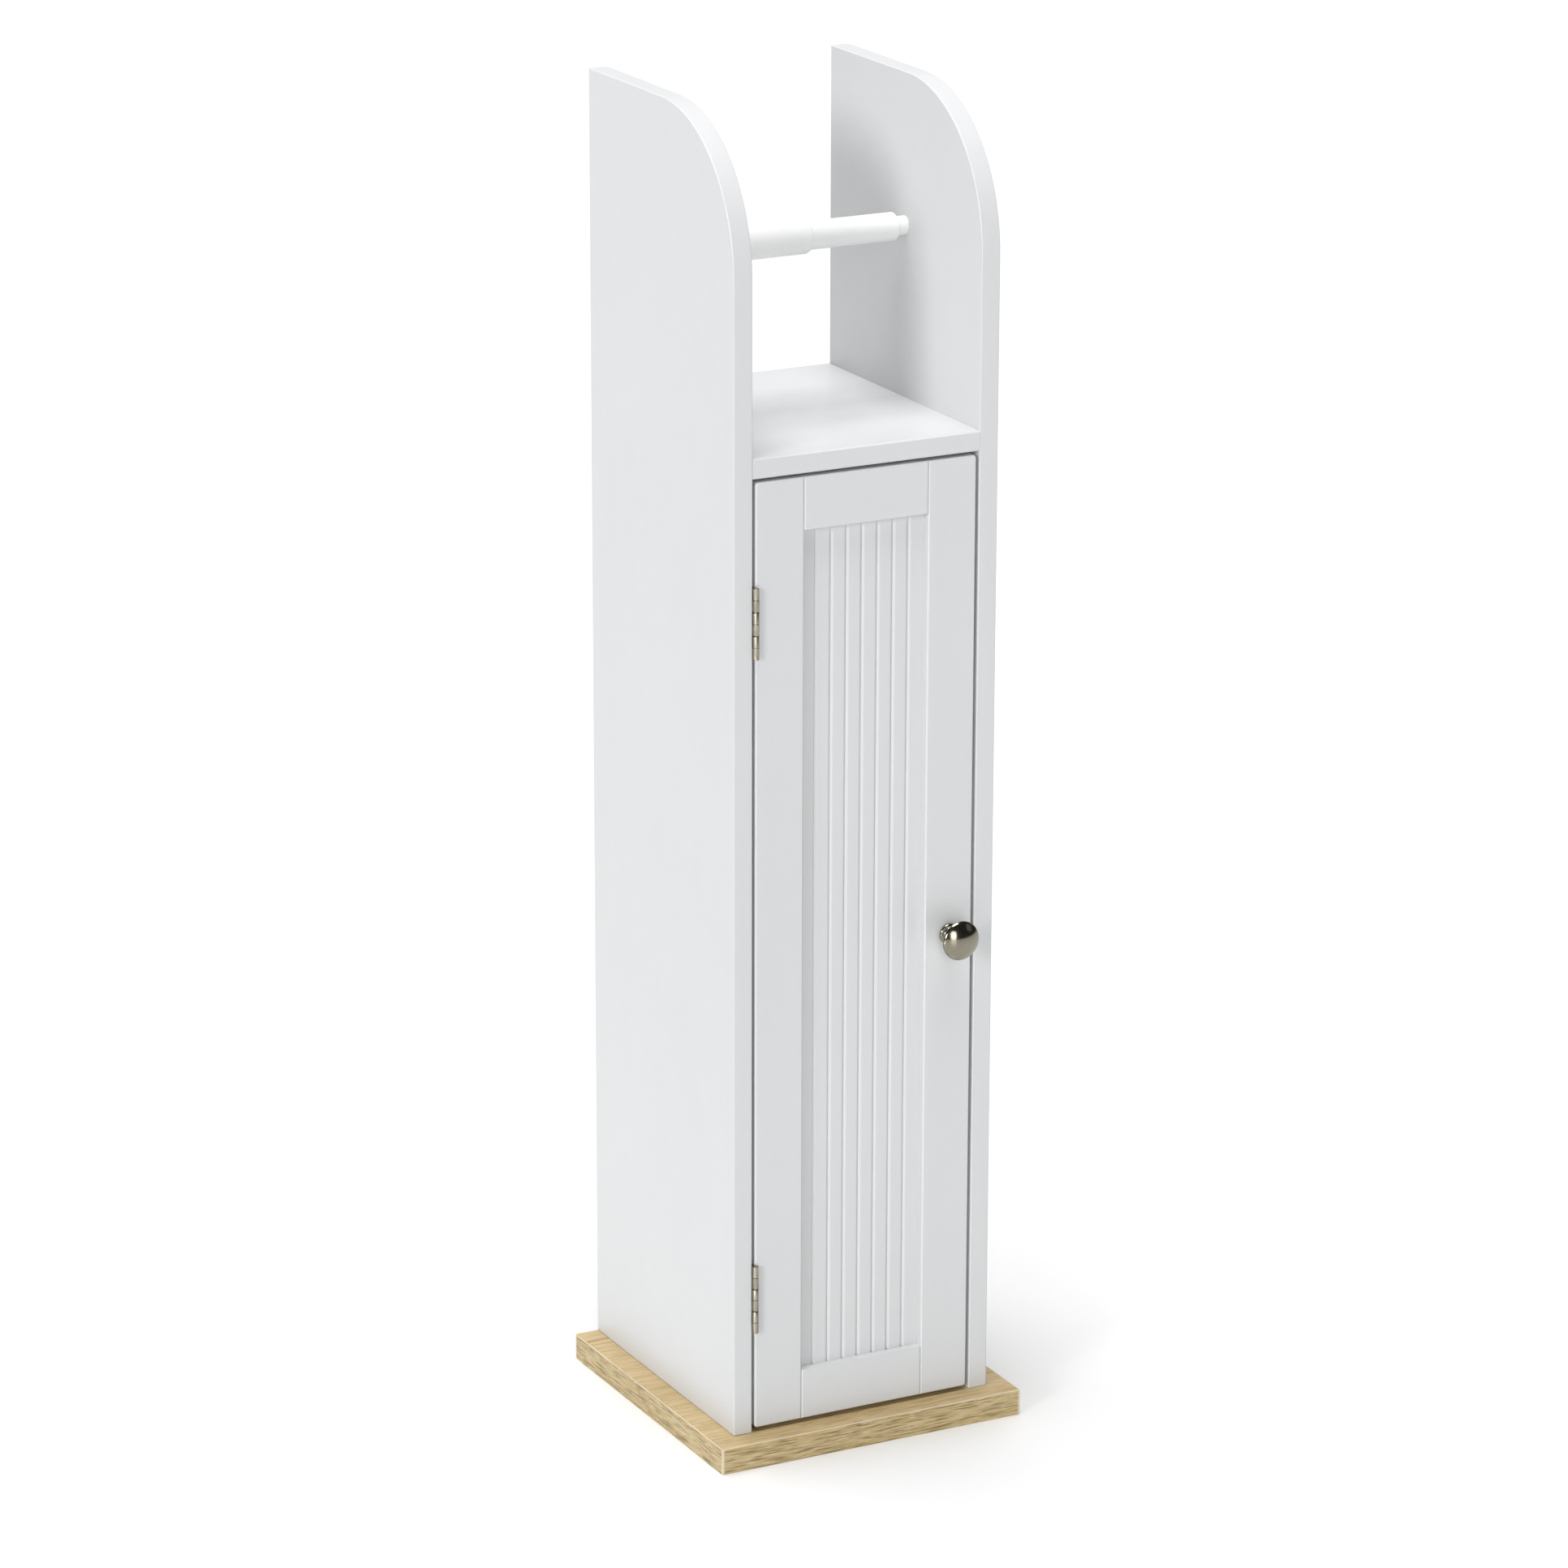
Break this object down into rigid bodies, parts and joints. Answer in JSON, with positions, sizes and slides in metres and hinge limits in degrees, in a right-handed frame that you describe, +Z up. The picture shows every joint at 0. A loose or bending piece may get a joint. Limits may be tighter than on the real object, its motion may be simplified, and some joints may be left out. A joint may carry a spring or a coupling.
{
  "type": "narrow bathroom cabinet",
  "caption": "Tall narrow floor cabinet: open bay with a sprung toilet-roll holder above, cupboard with a slatted hinged door below, on a square wood-grain base.",
  "frame": {"origin": "centre of the base's underside, on the floor", "axes": "+X to the right seen from the front, +Y from the front towards the wall, +Z up"},
  "size_m": [0.2, 0.206, 0.8],
  "materials": {
    "painted_board": "white satin paint on fibreboard",
    "back_board": "white foil on thin fibreboard",
    "oak_board": "light oak grain, satin",
    "oak_band": "light oak grain with brown streaks, satin",
    "dowel_wood": "bare beech",
    "zinc_steel": "bright zinc plating",
    "hinge_metal": "warm nickel plating",
    "polished_nickel": "polished nickel",
    "white_plastic": "white moulded, slightly glossy",
    "catch_plastic": "white moulded, fine texture",
    "magnet": "dark ferrite",
    "spring_steel": "plain spring wire"
  },
  "bodies": {
    "cabinet": {"base_board": "oak_board", "base_edge_band_front": "oak_band", "base_edge_band_back": "oak_band", "base_edge_band_left": "oak_band", "base_edge_band_right": "oak_band", "base_screws": "zinc_steel", "side_panel_left": "painted_board", "side_panel_right": "painted_board", "roll_shelf": "painted_board", "shelf_dowels": "dowel_wood", "cam_bolts": "zinc_steel", "cam_locks": "zinc_steel", "back_panel": "back_board", "inner_shelf": "painted_board", "shelf_pins": "zinc_steel", "hinge_leaf_cabinet_lower": "hinge_metal", "hinge_leaf_cabinet_upper": "hinge_metal", "hinge_pin_lower": "hinge_metal", "hinge_pin_upper": "hinge_metal", "hinge_screws_cabinet": "hinge_metal", "catch_housing": "catch_plastic", "catch_magnet": "magnet", "catch_pole_plates": "zinc_steel", "catch_screws": "zinc_steel"},
    "door": {"door_stile_left": "painted_board", "door_stile_right": "painted_board", "door_rail_top": "painted_board", "door_rail_bottom": "painted_board", "door_slat_panel": "painted_board", "hinge_leaf_door_lower": "hinge_metal", "hinge_leaf_door_upper": "hinge_metal", "hinge_screws_door": "hinge_metal", "knob": "polished_nickel", "knob_screw": "zinc_steel", "strike_plate": "zinc_steel", "strike_screw": "zinc_steel"},
    "roller_sleeve": {"roller_sleeve": "white_plastic", "roller_spring": "spring_steel"},
    "roller_tube": {"roller_tube": "white_plastic"}
  },
  "joints": [
    {"name": "door_hinge", "type": "hinge", "parent": "cabinet", "child": "door", "pos_m": [-0.0714, -0.0862, 0.306], "axis": [0, 0, -1], "range_deg": [0, 175]},
    {"name": "roller_spin", "type": "hinge", "parent": "cabinet", "child": "roller_sleeve", "pos_m": [0, 0.0075, 0.71], "axis": [1, 0, 0], "continuous": true},
    {"name": "roller_compress", "type": "slide", "parent": "roller_sleeve", "child": "roller_tube", "axis": [-1, 0, 0], "range_m": [0, 0.008], "stiffness_N_per_m": 300, "springref_m": -0.01, "deforming": ["roller_spring"]}
  ]
}
